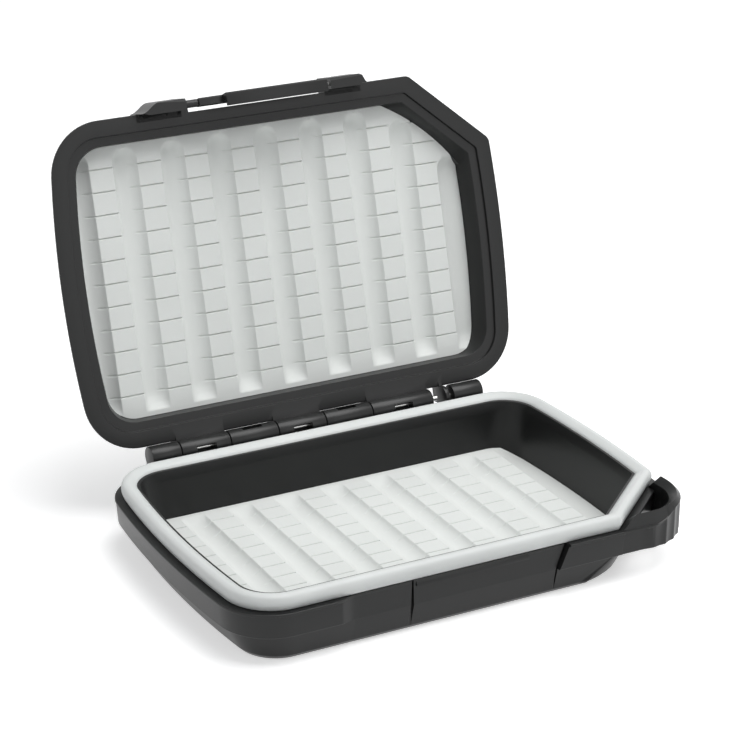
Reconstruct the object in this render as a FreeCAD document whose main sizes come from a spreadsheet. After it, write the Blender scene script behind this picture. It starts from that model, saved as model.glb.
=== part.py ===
import FreeCAD, Part
import Sketcher
import math
import os

# Pocket fly box: two drafted shells on a pinned hinge, foam liners, a gasket and a pivoting latch.
# X runs along the hinge, Y from the front (minus) to the hinge (plus), Z up from the underside.
# The lid is modelled closed and then turned about the hinge axis to its open rest pose.

doc = FreeCAD.newDocument("fly_box")
sheet = doc.addObject("Spreadsheet::Sheet", "sizes")

# Driving dimensions in millimetres, angles in degrees, grouped by the piece that carries them.
SIZES = [
    # plan outline of the ledge, shared by both shells
    ("box_length", 145.0),
    ("box_depth", 95.33),
    ("left_bow", 3.6),
    ("right_bow", 3.1),
    ("corner_radius", 16.0),
    ("vertex_radius", 3.0),
    ("inner_vertex_radius", 1.5),
    ("lower_vertex_radius", 22.0),
    ("cut_along_front", 26.3),
    ("cut_along_side", 22.3),
    # base shell
    ("base_height", 15.6),
    ("base_band", 7.3),
    ("side_lip", 0.65),
    ("side_face_head", 0.4),
    ("side_face_foot_inset", 0.1),
    ("band_lip", 0.7),
    ("band_face_inset", 0.5),
    ("band_overhang", 1.75),
    ("draft_sides", 4.9),
    ("draft_front", 3.4),
    ("bottom_radius", 12.0),
    ("bottom_edge", 1.3),
    ("base_floor", 1.2),
    ("lip_outer_inset", 5.75),
    ("lip_height", 2.9),
    ("lip_inner_inset", 6.55),
    ("ledge_wall_inset", 7.2),
    ("foam_wall_sides", 9.1),
    ("foam_wall_ends", 7.8),
    ("foam_cut_bow", 1.84),
    # gasket stretched round the lip
    ("gasket_height", 4.6),
    ("gasket_foot_inset", 2.05),
    ("gasket_bulge_inset", 1.3),
    ("gasket_bulge_low", 1.9),
    ("gasket_bulge_high", 3.1),
    ("gasket_shoulder_inset", 1.75),
    ("gasket_shoulder_level", 4.15),
    ("gasket_crown_outer", 2.7),
    ("gasket_crown_inner", 3.4),
    ("gasket_slope_inset", 4.7),
    ("gasket_slope_level", 4.05),
    ("gasket_edge_level", 3.25),
    ("gasket_gap", 0.15),
    # lid shell
    ("lid_height", 11.0),
    ("lid_band", 0.8),
    ("lid_overhang", 0.4),
    ("lid_top_wall", 1.6),
    ("rim_width", 4.8),
    ("rim_step_width", 2.7),
    ("rim_step_depth", 0.9),
    # foam liners, both of the same pattern
    ("foam_thickness_base", 2.4),
    ("foam_thickness_lid", 4.2),
    ("foam_clearance", 0.1),
    ("adhesive_film", 0.2),
    ("channel_pitch", 15.03),
    ("channel_width", 7.8),
    ("channel_depth_base", 1.9),
    ("channel_depth_lid", 2.4),
    ("channel_first", -61.33),
    ("channel_back_inset", 9.2),
    ("channel_front_inset", 9.0),
    ("channel_cut_inset", 11.4),
    # hinge
    ("hinge_behind", 3.07),
    ("hinge_above_ledge", 3.39),
    ("barrel_radius", 3.25),
    ("pin_radius", 0.75),
    ("pin_fit", 0.02),
    ("pin_running", 0.06),
    ("knuckle_gap", 0.3),
    ("open_angle", 106.09),
    ("hinge_left", -54.0),
    ("knuckle_end", 9.4),
    ("knuckle_lid", 15.8),
    ("knuckle_base", 15.7),
    ("knuckle_right", 21.0),
    ("pin_gap", 4.6),
    ("disc_width", 1.1),
    ("disc_gap", 1.6),
    ("stub_width", 10.1),
    ("pin_stub_out", 2.6),
    ("window_width", 6.2),
    ("window_height", 2.0),
    ("base_web_height", 5.4),
    ("lid_web_height", 4.2),
    ("web_root", 2.0),
    ("barrel_end_bevel", 1.2),
    # front recess and catch on the base
    ("recess_left", -37.0),
    ("recess_blend", 7.0),
    ("recess_right", 28.6),
    ("recess_lean", 3.1),
    ("recess_depth", 1.75),
    ("slit_place", -20.0),
    ("slit_top", 0.35),
    ("slit_foot", 0.85),
    ("end_slit_top", 1.2),
    ("end_slit_foot", 0.5),
    ("slit_depth", 0.9),
    ("catch_left", -19.0),
    ("catch_right", 16.0),
    ("catch_proud", 0.5),
    ("catch_drop", 0.4),
    ("catch_height", 1.5),
    # latch on the lid
    ("latch_out", 1.07),
    ("latch_pin_below", 3.4),
    ("latch_pin_radius", 0.6),
    ("latch_running", 0.05),
    ("unlatch_angle", 12.0),
    ("lug_out", 2.87),
    ("lug_drop", 5.0),
    ("lug_rise", 4.2),
    ("lug_wall", 1.5),
    ("left_lug_left", -39.0),
    ("left_lug_right", -28.8),
    ("left_ramp", 6.1),
    ("right_lug_left", 17.8),
    ("right_lug_right", 28.0),
    ("right_ramp", 1.8),
    ("lug_edge", 0.9),
    ("slot_left", -26.6),
    ("slot_depth", 1.33),
    ("lug_root", 2.4),
    ("flap_left", -24.9),
    ("flap_right", 16.1),
    ("flap_half", 1.15),
    ("flap_top", 1.3),
    ("flap_edge", 0.5),
    ("hook_left", -17.4),
    ("hook_right", 15.5),
    ("hook_stem", 0.85),
    ("hook_height", 1.1),
    ("hook_bite", 0.33),
    ("catch_clearance", 0.15),
    ("latch_pin_seat", 4.5),
    # lanyard loop across the cut-off corner
    ("loop_wall", 3.4),
    ("loop_drop", 7.3),
    ("loop_rise", 4.05),
    ("loop_before_cut", 1.7),
    ("loop_step", 6.4),
    ("step_run_share", 0.35),
    ("step_rise_share", 0.2),
    ("loop_inset", 0.6),
    ("loop_radius", 15.5),
    ("loop_end_slope", 3.6),
    ("loop_bevel", 2.7),
    ("loop_bevel_drop", 1.4),
    ("grip_radius", 0.9),
    ("grip_depth", 0.45),
    ("grip_pitch", 4.0),
    ("overrun", 1.0),
]
for row, (alias, value) in enumerate(SIZES, start=1):
    sheet.set("A%d" % row, alias)
    sheet.set("B%d" % row, str(value))
    sheet.setAlias("B%d" % row, alias)
doc.recompute()
channel_count = 9
grip_count = 5


def size(alias):
    return float(sheet.get(alias))


# Levels and places that follow from the driving dimensions.
half_length = size("box_length") / 2
half_depth = size("box_depth") / 2
ledge = size("base_height")
rim = ledge + size("gasket_height") + size("gasket_gap")
lid_top = rim + size("lid_height")
axis_y = half_depth + size("hinge_behind")
axis_z = ledge + size("hinge_above_ledge")
latch_y = -half_depth - size("latch_out")
latch_z = rim - size("latch_pin_below")


def bow_radius(sagitta):
    """Radius of a side that bows out by this much over the depth of the box."""
    return (half_depth * half_depth + sagitta * sagitta) / (2 * sagitta)


left_radius = bow_radius(size("left_bow"))
right_radius = bow_radius(size("right_bow"))
left_centre = left_radius - half_length
right_centre = half_length - right_radius

# The cut-off corner's two vertices on the full outline.
cut_a = (half_length - size("cut_along_front"), -half_depth)
side_y = -half_depth + size("cut_along_side")
cut_b = (right_centre + math.sqrt(right_radius ** 2 - side_y ** 2), side_y)
cut_length = math.hypot(cut_b[0] - cut_a[0], cut_b[1] - cut_a[1])
cut_along = ((cut_b[0] - cut_a[0]) / cut_length, (cut_b[1] - cut_a[1]) / cut_length)
cut_inward = (-cut_along[1], cut_along[0])


def arc_edge(centre, radius, start, end, z):
    """Short arc from start to end, both given as angles in radians."""
    middle = (start + end) / 2
    points = [FreeCAD.Vector(centre[0] + radius * math.cos(a), centre[1] + radius * math.sin(a), z)
              for a in (start, middle, end)]
    return Part.Arc(*points).toShape(), points[0], points[2]


def outline(z, sides, ends, corner, vertex, bow=0):
    """Closed outline at height z, drawn in by sides at the bowed sides and the cut corner
    and by ends at the front and the back; always ten edges in the same order.
    With a bow, the cut edge is an arc whose middle lies on the plain cut line."""
    back = half_depth - ends
    front = -back
    left_r = left_radius - sides
    right_r = right_radius - sides
    reach_left = math.sqrt((left_r - corner) ** 2 - (back - corner) ** 2)
    reach_right = math.sqrt((right_r - corner) ** 2 - (back - corner) ** 2)
    back_left = (left_centre - reach_left, back - corner)
    front_left = (back_left[0], -back_left[1])
    back_right = (right_centre + reach_right, back - corner)
    # cut line drawn in, and the two small rounds at its ends
    drawn = sides + bow
    on_cut = (cut_a[0] + cut_inward[0] * drawn, cut_a[1] + cut_inward[1] * drawn)
    along = (front + vertex - on_cut[1] - cut_inward[1] * vertex) / cut_along[1]
    vertex_a = (on_cut[0] + cut_inward[0] * vertex + cut_along[0] * along, front + vertex)
    near = (on_cut[0] + cut_inward[0] * vertex - right_centre, on_cut[1] + cut_inward[1] * vertex)
    half_b = near[0] * cut_along[0] + near[1] * cut_along[1]
    rest = near[0] ** 2 + near[1] ** 2 - (right_r - vertex) ** 2
    along = -half_b + math.sqrt(half_b ** 2 - rest)
    vertex_b = (right_centre + near[0] + cut_along[0] * along, near[1] + cut_along[1] * along)
    cut_angle = math.atan2(-cut_inward[1], -cut_inward[0])
    side_angle = math.atan2(vertex_b[1], vertex_b[0] - right_centre)
    high_angle = math.atan2(back_right[1], back_right[0] - right_centre)
    left_high = math.pi - math.atan2(back_left[1], left_centre - back_left[0])
    left_low = 2 * math.pi - left_high
    quarter = math.pi / 2
    arcs = [
        arc_edge(back_right, corner, high_angle, quarter, z),
        arc_edge(back_left, corner, quarter, left_high, z),
        arc_edge((left_centre, 0), left_r, left_high, left_low, z),
        arc_edge(front_left, corner, left_low, 3 * quarter, z),
        arc_edge(vertex_a, vertex, -quarter, cut_angle, z),
        arc_edge(vertex_b, vertex, cut_angle, side_angle, z),
        arc_edge((right_centre, 0), right_r, side_angle, high_angle, z),
    ]
    lines = {0: (0, 1), 3: (3, 4), 4: (4, 5)}
    cut_corner = 4
    edges = []
    for index, (edge, first, last) in enumerate(arcs):
        edges.append(edge)
        if index in lines:
            after = arcs[lines[index][1]][1]
            if bow and index == cut_corner:
                outward = FreeCAD.Vector(cut_inward[0], cut_inward[1], 0) * -bow
                edges.append(Part.Arc(last, (last + after) / 2 + outward, after).toShape())
            else:
                edges.append(Part.makeLine(last, after))
    return Part.Wire(edges)


def skin(wires):
    """Ruled faces from each outline to the next."""
    faces = []
    for low, high in zip(wires, wires[1:]):
        for first, second in zip(low.Edges, high.Edges):
            faces.append(Part.makeRuledSurface(first, second))
    return faces


def closed_solid(faces):
    """One solid sewn from faces that share their edges."""
    shell = Part.makeShell(faces)
    shell.sewShape()
    solid = Part.Solid(shell)
    if solid.Volume < 0:
        solid.reverse()
    solid.fix(Part.Precision.confusion(), Part.Precision.confusion(), Part.Precision.approximation())
    return solid


def stack(wires):
    """Solid through outlines, capped flat at its first and its last one."""
    return closed_solid(skin(wires) + [Part.Face(wires[0]), Part.Face(wires[-1])])


def ring(wires):
    """Solid ring through outlines, from the last one back to the first."""
    return closed_solid(skin(wires + wires[:1]))


def block(x0, x1, y0, y1, z0, z1):
    return Part.makeBox(x1 - x0, y1 - y0, z1 - z0, FreeCAD.Vector(x0, y0, z0))


def prism_x(x0, x1, points):
    """Prism along X over a polygon of (y, z) points."""
    wire = Part.makePolygon([FreeCAD.Vector(x0, y, z) for y, z in points + points[:1]])
    return Part.Face(wire).extrude(FreeCAD.Vector(x1 - x0, 0, 0))


def prism_y(y0, y1, points):
    """Prism along Y over a polygon of (x, z) points."""
    wire = Part.makePolygon([FreeCAD.Vector(x, y0, z) for x, z in points + points[:1]])
    return Part.Face(wire).extrude(FreeCAD.Vector(0, y1 - y0, 0))


def prism_z(z0, z1, points):
    """Prism along Z over a polygon of (x, y) points."""
    wire = Part.makePolygon([FreeCAD.Vector(x, y, z0) for x, y in points + points[:1]])
    return Part.Face(wire).extrude(FreeCAD.Vector(0, 0, z1 - z0))


def rod_x(x0, x1, radius, y, z):
    return Part.makeCylinder(radius, x1 - x0, FreeCAD.Vector(x0, y, z), FreeCAD.Vector(1, 0, 0))


def open_pose(extra=None):
    """Turn about the hinge axis from closed to the open rest pose, after an optional first turn."""
    centre = FreeCAD.Vector(0, axis_y, axis_z)
    turn = FreeCAD.Rotation(FreeCAD.Vector(1, 0, 0), -size("open_angle"))
    placed = FreeCAD.Placement(FreeCAD.Vector(0, 0, 0), turn, centre)
    return placed.multiply(extra) if extra else placed


def feature(name, shape, placement=None):
    """A sub-part whose shape is worked out here from the sheet."""
    thing = doc.addObject("Part::Feature", name)
    thing.Label = name
    thing.Shape = shape
    if placement:
        thing.Placement = placement
    return thing


# Hinge knuckles from left to right: who carries each, and where it starts and ends.
gap = size("knuckle_gap") / 2
knuckle_widths = [("base", "knuckle_end"), ("lid", "knuckle_lid"), ("base", "knuckle_base"),
                  ("lid", "knuckle_lid"), ("base", "knuckle_base"), ("lid", "knuckle_right")]
knuckles = []
place = size("hinge_left")
for owner, width in knuckle_widths:
    knuckles.append((owner, place + gap, place + size(width) - gap))
    place += size(width)
long_hinge_end = place - gap
disc_left = long_hinge_end + size("pin_gap")
disc_right = disc_left + size("disc_width")
stub_left = disc_right + size("disc_gap")
stub_right = stub_left + size("stub_width")
lug_disc = ("lid", disc_left, disc_right)
stub_knuckle = ("base", stub_left, stub_right)


def barrel(owner, x0, x1):
    """Knuckle barrel with its web to the shell that carries it."""
    radius = size("barrel_radius")
    root = axis_y - half_depth + size("web_root")
    solid = rod_x(x0, x1, radius, axis_y, axis_z)
    diagonal = radius * math.sqrt(0.5)
    if owner == "base":
        foot = ledge - size("base_web_height") - axis_z
        web = [(-root, ledge - axis_z), (-root, foot), (root - radius, foot),
               (diagonal, -diagonal), (0, 0), (-diagonal, -diagonal)]
    else:
        top = rim + size("lid_web_height") - axis_z
        web = [(-root, rim - axis_z), (-root, top), (root - radius, top), (diagonal, diagonal), (0, 0)]
    return solid.fuse(prism_x(x0, x1, [(axis_y + y, axis_z + z) for y, z in web]))


def window(x0, x1, direction):
    """Moulding window from the barrel's skin down to the pin."""
    middle = (x0 + x1) / 2
    reach = direction * (size("barrel_radius") + size("overrun"))
    z0, z1 = sorted((axis_z, axis_z + reach))
    return block(middle - size("window_width") / 2, middle + size("window_width") / 2,
                 axis_y - size("window_height") / 2, axis_y + size("window_height") / 2, z0, z1)


def add_knuckles(shell, owner, clearance):
    """Fuses one shell's knuckles, then bores them for the pins and opens their windows."""
    mine = [k for k in knuckles if k[0] == owner]
    extra = stub_knuckle if owner == "base" else lug_disc
    for _, x0, x1 in mine + [extra]:
        shell = shell.fuse(barrel(owner, x0, x1))
    bore = size("pin_radius") + clearance
    pin_start = size("hinge_left") + size("barrel_end_bevel")
    shell = shell.cut(rod_x(pin_start, long_hinge_end + size("overrun"), bore, axis_y, axis_z))
    stub_stop = stub_right - size("barrel_end_bevel")
    shell = shell.cut(rod_x(disc_left - size("overrun"), stub_stop, bore, axis_y, axis_z))
    for _, x0, x1 in mine:
        if x1 - x0 > size("knuckle_end"):
            shell = shell.cut(window(x0, x1, 1 if owner == "base" else -1))
    return shell


# Base shell
corner = size("corner_radius")
vertex = size("vertex_radius")
inner_vertex = size("inner_vertex_radius")
lower_vertex = size("lower_vertex_radius")
inner_corner = corner - size("lip_outer_inset")
bottom = size("bottom_radius")
floor_top = size("base_floor")
band_foot = ledge - size("base_band")
lip_top = ledge + size("lip_height")
overhang = size("band_overhang")
edge = size("bottom_edge")
wall_sides = size("foam_wall_sides")
wall_ends = size("foam_wall_ends")
cut_bow = size("foam_cut_bow")
cavity_corner = corner - size("ledge_wall_inset")
foam_level_base = floor_top + size("adhesive_film") + size("foam_thickness_base")
face_inset = size("band_face_inset")
side_lip = size("side_lip")
side_head = size("side_face_head")
side_foot = size("side_face_foot_inset")
lip_foot = ledge - size("band_lip")

base_wires = [
    outline(0, size("draft_sides") + edge, size("draft_front") + edge, bottom - edge, lower_vertex),
    outline(edge, size("draft_sides"), size("draft_front"), bottom, lower_vertex),
    outline(band_foot, overhang, overhang, corner - overhang, vertex),
    outline(band_foot, side_foot, face_inset, corner - face_inset, vertex),
    outline(lip_foot, -side_head, face_inset, corner - face_inset, vertex),
    outline(lip_foot, -side_lip, 0, corner, vertex),
    outline(ledge, -side_lip, 0, corner, vertex),
    outline(ledge, size("lip_outer_inset"), size("lip_outer_inset"), inner_corner, inner_vertex),
    outline(lip_top, size("lip_outer_inset"), size("lip_outer_inset"), inner_corner, inner_vertex),
    outline(lip_top, size("lip_inner_inset"), size("lip_inner_inset"), inner_corner, inner_vertex),
    outline(ledge, size("ledge_wall_inset"), size("ledge_wall_inset"), cavity_corner, inner_vertex),
    outline(foam_level_base, wall_sides, wall_ends, cavity_corner, inner_vertex, cut_bow),
    outline(floor_top, wall_sides, wall_ends, cavity_corner, inner_vertex, cut_bow),
]
base = stack(base_wires)

recess_face = -half_depth + size("recess_depth")
out = -half_depth - size("overrun")
recess_points = [
    (size("recess_left"), ledge + size("overrun")),
    (size("recess_right"), ledge + size("overrun")),
    (size("recess_right"), ledge),
    (size("recess_right") - size("recess_lean"), band_foot),
    (size("recess_left"), band_foot),
]
base = base.cut(prism_y(out, recess_face, recess_points))
blend = [(size("recess_left") - size("recess_blend"), out), (size("recess_left"), out),
         (size("recess_left"), recess_face), (size("recess_left") - size("recess_blend"), -half_depth)]
base = base.cut(prism_z(band_foot, ledge + size("overrun"), blend))
slit_deep = recess_face + size("slit_depth")
slit_points = [
    (size("slit_place") - size("slit_top") / 2, ledge),
    (size("slit_place") + size("slit_top") / 2, ledge),
    (size("slit_place") + size("slit_foot") / 2, band_foot),
    (size("slit_place") - size("slit_foot") / 2, band_foot),
]
end_slit_points = [
    (size("recess_right") - size("end_slit_top"), ledge),
    (size("recess_right"), ledge),
    (size("recess_right") - size("recess_lean"), band_foot),
    (size("recess_right") - size("recess_lean") - size("end_slit_foot"), band_foot),
]
base = base.cut(prism_y(out, slit_deep, slit_points))
base = base.cut(prism_y(out, slit_deep, end_slit_points))
catch_top = ledge - size("catch_drop")
catch_foot = catch_top - size("catch_height")
catch_out = recess_face - size("catch_proud")
catch_mid = (catch_top + catch_foot) / 2
catch_points = [(recess_face + size("overrun"), catch_top), (recess_face, catch_top),
                (catch_out, catch_mid), (catch_out, catch_foot), (recess_face + size("overrun"), catch_foot)]
base = base.fuse(prism_x(size("catch_left"), size("catch_right"), catch_points))
base = add_knuckles(base, "base", size("pin_fit"))
feature("base_shell", base.removeSplitter())

# Gasket
foot = size("gasket_foot_inset")
gasket_points = [
    (size("lip_outer_inset"), 0.0),
    (foot, 0.0),
    (size("gasket_bulge_inset"), size("gasket_bulge_low")),
    (size("gasket_bulge_inset"), size("gasket_bulge_high")),
    (size("gasket_shoulder_inset"), size("gasket_shoulder_level")),
    (size("gasket_crown_outer"), size("gasket_height")),
    (size("gasket_crown_inner"), size("gasket_height")),
    (size("gasket_slope_inset"), size("gasket_slope_level")),
    (size("lip_outer_inset"), size("gasket_edge_level")),
]
gasket_wires = [outline(ledge + level, inset, inset, corner - inset, inner_vertex)
                for inset, level in gasket_points]
feature("gasket", ring(gasket_wires))

# Lid shell, modelled closed
lid_band_top = rim + size("lid_band")
ceiling = lid_top - size("lid_top_wall")
lid_overhang = size("lid_overhang")
step_level = rim + size("rim_step_depth")
step_inset = size("rim_width") + size("rim_step_width")
lid_wires = [
    outline(lid_top, size("draft_sides") + edge, size("draft_front") + edge, bottom - edge, lower_vertex),
    outline(lid_top - edge, size("draft_sides"), size("draft_front"), bottom, lower_vertex),
    outline(lid_band_top, lid_overhang, lid_overhang, corner - lid_overhang, vertex),
    outline(lid_band_top, 0, 0, corner, vertex),
    outline(rim, 0, 0, corner, vertex),
    outline(rim, size("rim_width"), size("rim_width"), inner_corner, inner_vertex),
    outline(step_level, size("rim_width"), size("rim_width"), inner_corner, inner_vertex),
    outline(step_level, step_inset, step_inset, corner - step_inset, inner_vertex),
    outline(ceiling - size("adhesive_film") - size("foam_thickness_lid"), wall_sides, wall_ends,
            cavity_corner, inner_vertex, cut_bow),
    outline(ceiling, wall_sides, wall_ends, cavity_corner, inner_vertex, cut_bow),
]
lid = stack(lid_wires)


def lug(x_left, x_right, ramp_left, ramp_right):
    """Latch lug on the lid's front band, with a ramp at each end and a bevelled near edge."""
    face = -half_depth - size("lug_out")
    clear = -half_depth - size("catch_clearance")
    bore_wall = latch_y + size("lug_wall")
    root = -half_depth + size("lug_root")
    low = rim - size("lug_drop")
    plan = [(x_left - ramp_left, clear), (x_left, face), (x_right, face), (x_right + ramp_right, clear)]
    solid = prism_z(low, rim, plan)
    solid = solid.fuse(block(x_left, x_right, face, bore_wall, low, rim))
    high_plan = plan + [(x_right + ramp_right, root), (x_left - ramp_left, root)]
    solid = solid.fuse(prism_z(rim, rim + size("lug_rise"), high_plan))
    cut = size("lug_edge")
    bevel = [(face - size("overrun"), low - size("overrun")), (face + cut, low - size("overrun")),
             (face + cut, low), (face, low + cut), (face - size("overrun"), low + cut)]
    far = x_right + ramp_right + size("overrun")
    return solid.cut(prism_x(x_left - ramp_left - size("overrun"), far, bevel))


lid = lid.fuse(lug(size("left_lug_left"), size("left_lug_right"), size("left_ramp"), 0))
lid = lid.fuse(lug(size("right_lug_left"), size("right_lug_right"), 0, size("right_ramp")))
slot_back = -half_depth + size("slot_depth")
lid = lid.cut(block(size("slot_left"), size("right_lug_left"), out, slot_back,
                    rim - size("overrun"), lid_top))
latch_bore = size("latch_pin_radius") + size("latch_running")
pin_left = size("left_lug_right") - size("latch_pin_seat")
pin_right = size("right_lug_left") + size("latch_pin_seat")
lid = lid.cut(rod_x(pin_left, pin_right, latch_bore, latch_y, latch_z))
lid = add_knuckles(lid, "lid", size("pin_running"))
feature("lid_shell", lid.removeSplitter(), open_pose())


# Foam liners: a flat slab with round-ended channels sunk between its strips
def round_rod(x, front, back, height, radius, up):
    """Rod along Y with round ends, turned from a profile on the side that faces away from the foam."""
    slant = radius * math.sqrt(0.5)
    tips = [FreeCAD.Vector(x, front - radius, height), FreeCAD.Vector(x, back + radius, height)]
    slants = [FreeCAD.Vector(x, y, height + up * slant) for y in (front - slant, back + slant)]
    sides = [FreeCAD.Vector(x, y, height + up * radius) for y in (front, back)]
    edges = [Part.Arc(tips[0], slants[0], sides[0]).toShape(), Part.makeLine(sides[0], sides[1]),
             Part.Arc(sides[1], slants[1], tips[1]).toShape(), Part.makeLine(tips[1], tips[0])]
    return Part.Face(Part.Wire(edges)).revolve(tips[0], FreeCAD.Vector(0, 1, 0), 360)


def liner(floor, thickness, depth, up):
    """Foam from the shell's floor; up is 1 in the base and -1 in the lid."""
    clearance = size("foam_clearance")
    radius = cavity_corner - clearance
    face = floor + up * thickness
    foam = stack([outline(z, wall_sides + clearance, wall_ends + clearance, radius, inner_vertex, cut_bow)
                  for z in (floor, face)])
    half = size("channel_width") / 2
    scoop = (half * half + depth * depth) / (2 * depth)
    height = face + up * (scoop - depth)
    back = half_depth - size("channel_back_inset") - half
    margin = size("channel_front_inset")
    cut_margin = size("channel_cut_inset")
    for index in range(channel_count):
        x = size("channel_first") + index * size("channel_pitch")
        past = x - cut_a[0] - cut_inward[0] * cut_margin
        on_cut = cut_a[1] + cut_inward[1] * cut_margin + past * cut_along[1] / cut_along[0]
        front = max(margin - half_depth, on_cut) + half
        foam = foam.cut(round_rod(x, front, back, height, scoop, up))
    return foam


base_liner_floor = floor_top + size("adhesive_film")
lid_liner_floor = ceiling - size("adhesive_film")
feature("base_foam", liner(base_liner_floor, size("foam_thickness_base"), size("channel_depth_base"), 1))
feature("lid_foam", liner(lid_liner_floor, size("foam_thickness_lid"), size("channel_depth_lid"), -1), open_pose())


def film(low, high):
    """Adhesive film between a shell's floor and its foam."""
    clearance = 2 * size("foam_clearance")
    radius = cavity_corner - clearance
    return stack([outline(z, wall_sides + clearance, wall_ends + clearance, radius, inner_vertex, cut_bow)
                  for z in (low, high)])


feature("base_foam_adhesive", film(floor_top, base_liner_floor))
feature("lid_foam_adhesive", film(lid_liner_floor, ceiling), open_pose())


# Steel pins of the hinge and the latch
def pin(name, x0, x1, radius_alias, y, z, turned):
    """Plain pin along X whose radius and length follow the sheet."""
    rod = doc.addObject("Part::Cylinder", name)
    rod.Label = name
    rod.setExpression("Radius", "sizes." + radius_alias)
    rod.Height = x1 - x0
    along = FreeCAD.Rotation(FreeCAD.Vector(0, 1, 0), 90)
    local = FreeCAD.Placement(FreeCAD.Vector(x0, y, z), along)
    rod.Placement = open_pose(local) if turned else local
    return rod


first_pin_start = size("hinge_left") + size("barrel_end_bevel") + size("pin_running")
pin("hinge_pin_long", first_pin_start, long_hinge_end + size("pin_stub_out"), "pin_radius", axis_y, axis_z, False)
stub_pin_end = stub_right - size("barrel_end_bevel") - size("pin_running")
pin("hinge_pin_short", disc_left, stub_pin_end, "pin_radius", axis_y, axis_z, False)
pin("latch_pin", pin_left + size("latch_running"), pin_right - size("latch_running"),
    "latch_pin_radius", latch_y, latch_z, True)


# Latch flap on its own pin, drawn about the pin's axis in its locked position
def origin_plane(body, role):
    return [item for item in body.Origin.OriginFeatures if item.Role == role][0]


def polygon_pad(body, name, points, start, length):
    """Pad along X over a polygon whose corners are sheet expressions for (y, z)."""
    sketch = body.newObject("Sketcher::SketchObject", name + "_sketch")
    sketch.AttachmentSupport = (origin_plane(body, "YZ_Plane"), "")
    sketch.MapMode = "FlatFace"
    sketch.setExpression("AttachmentOffset.Base.z", start)
    values = [(float(sheet.evalExpression(y)), float(sheet.evalExpression(z))) for y, z in points]
    corners = [FreeCAD.Vector(y, z, 0) for y, z in values]
    for index, here in enumerate(corners):
        after = corners[(index + 1) % len(corners)]
        sketch.addGeometry(Part.LineSegment(here, after), False)
    count = len(corners)
    for index in range(count):
        sketch.addConstraint(Sketcher.Constraint("Coincident", index, 2, (index + 1) % count, 1))
    for index, (y, z) in enumerate(points):
        for kind, term, at in (("DistanceX", y, corners[index].x), ("DistanceY", z, corners[index].y)):
            number = sketch.addConstraint(Sketcher.Constraint(kind, -1, 1, index, 1, at))
            label = "%s_%d" % (kind, index)
            sketch.renameConstraint(number, label)
            sketch.setExpression("Constraints." + label, term)
    pad = body.newObject("PartDesign::Pad", name)
    pad.Profile = sketch
    pad.setExpression("Length", length)
    return pad


flap = doc.addObject("PartDesign::Body", "latch_flap")
flap.Label = "latch_flap"
flap_drop = "(sizes.lug_drop - sizes.latch_pin_below)"
hook_top = ("(sizes.gasket_height + sizes.gasket_gap - sizes.latch_pin_below"
            " + sizes.catch_drop + sizes.catch_height + sizes.catch_clearance)")
hook_tip = "(sizes.latch_out + sizes.recess_depth - sizes.catch_proud + sizes.hook_bite)"
bar_points = [
    ("-sizes.flap_half", "sizes.flap_edge - " + flap_drop),
    ("sizes.flap_edge - sizes.flap_half", "-" + flap_drop),
    ("sizes.flap_half", "-" + flap_drop),
    ("sizes.flap_half", "sizes.flap_top - sizes.flap_edge"),
    ("sizes.flap_half - sizes.flap_edge", "sizes.flap_top"),
    ("sizes.flap_edge - sizes.flap_half", "sizes.flap_top"),
    ("-sizes.flap_half", "sizes.flap_top - sizes.flap_edge"),
]
bar = polygon_pad(flap, "flap_bar", bar_points, "sizes.flap_left", "sizes.flap_right - sizes.flap_left")
bore = bar.Profile[0].addGeometry(Part.Circle(FreeCAD.Vector(0, 0, 0), FreeCAD.Vector(0, 0, 1), latch_bore))
bar.Profile[0].addConstraint(Sketcher.Constraint("Coincident", bore, 3, -1, 1))
number = bar.Profile[0].addConstraint(Sketcher.Constraint("Radius", bore, latch_bore))
bar.Profile[0].renameConstraint(number, "Bore")
bar.Profile[0].setExpression("Constraints.Bore", "sizes.latch_pin_radius + sizes.latch_running")
hook_points = [
    ("-sizes.flap_half", "sizes.flap_edge - " + flap_drop),
    ("-sizes.flap_half", "sizes.flap_edge - " + hook_top + " - sizes.hook_height"),
    ("sizes.flap_edge - sizes.flap_half", "-" + hook_top + " - sizes.hook_height"),
    ("sizes.hook_stem", "-" + hook_top + " - sizes.hook_height"),
    (hook_tip, "sizes.flap_edge - " + hook_top + " - sizes.hook_height"),
    (hook_tip, "-" + hook_top),
    ("sizes.hook_stem", "-" + hook_top),
    ("sizes.hook_stem", "sizes.flap_edge - " + flap_drop),
]
hook = polygon_pad(flap, "flap_hook", hook_points, "sizes.hook_left", "sizes.hook_right - sizes.hook_left")
flap.Tip = hook
unlatched = FreeCAD.Rotation(FreeCAD.Vector(1, 0, 0), -size("unlatch_angle"))
flap.Placement = open_pose(FreeCAD.Placement(FreeCAD.Vector(0, latch_y, latch_z), unlatched))


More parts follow.
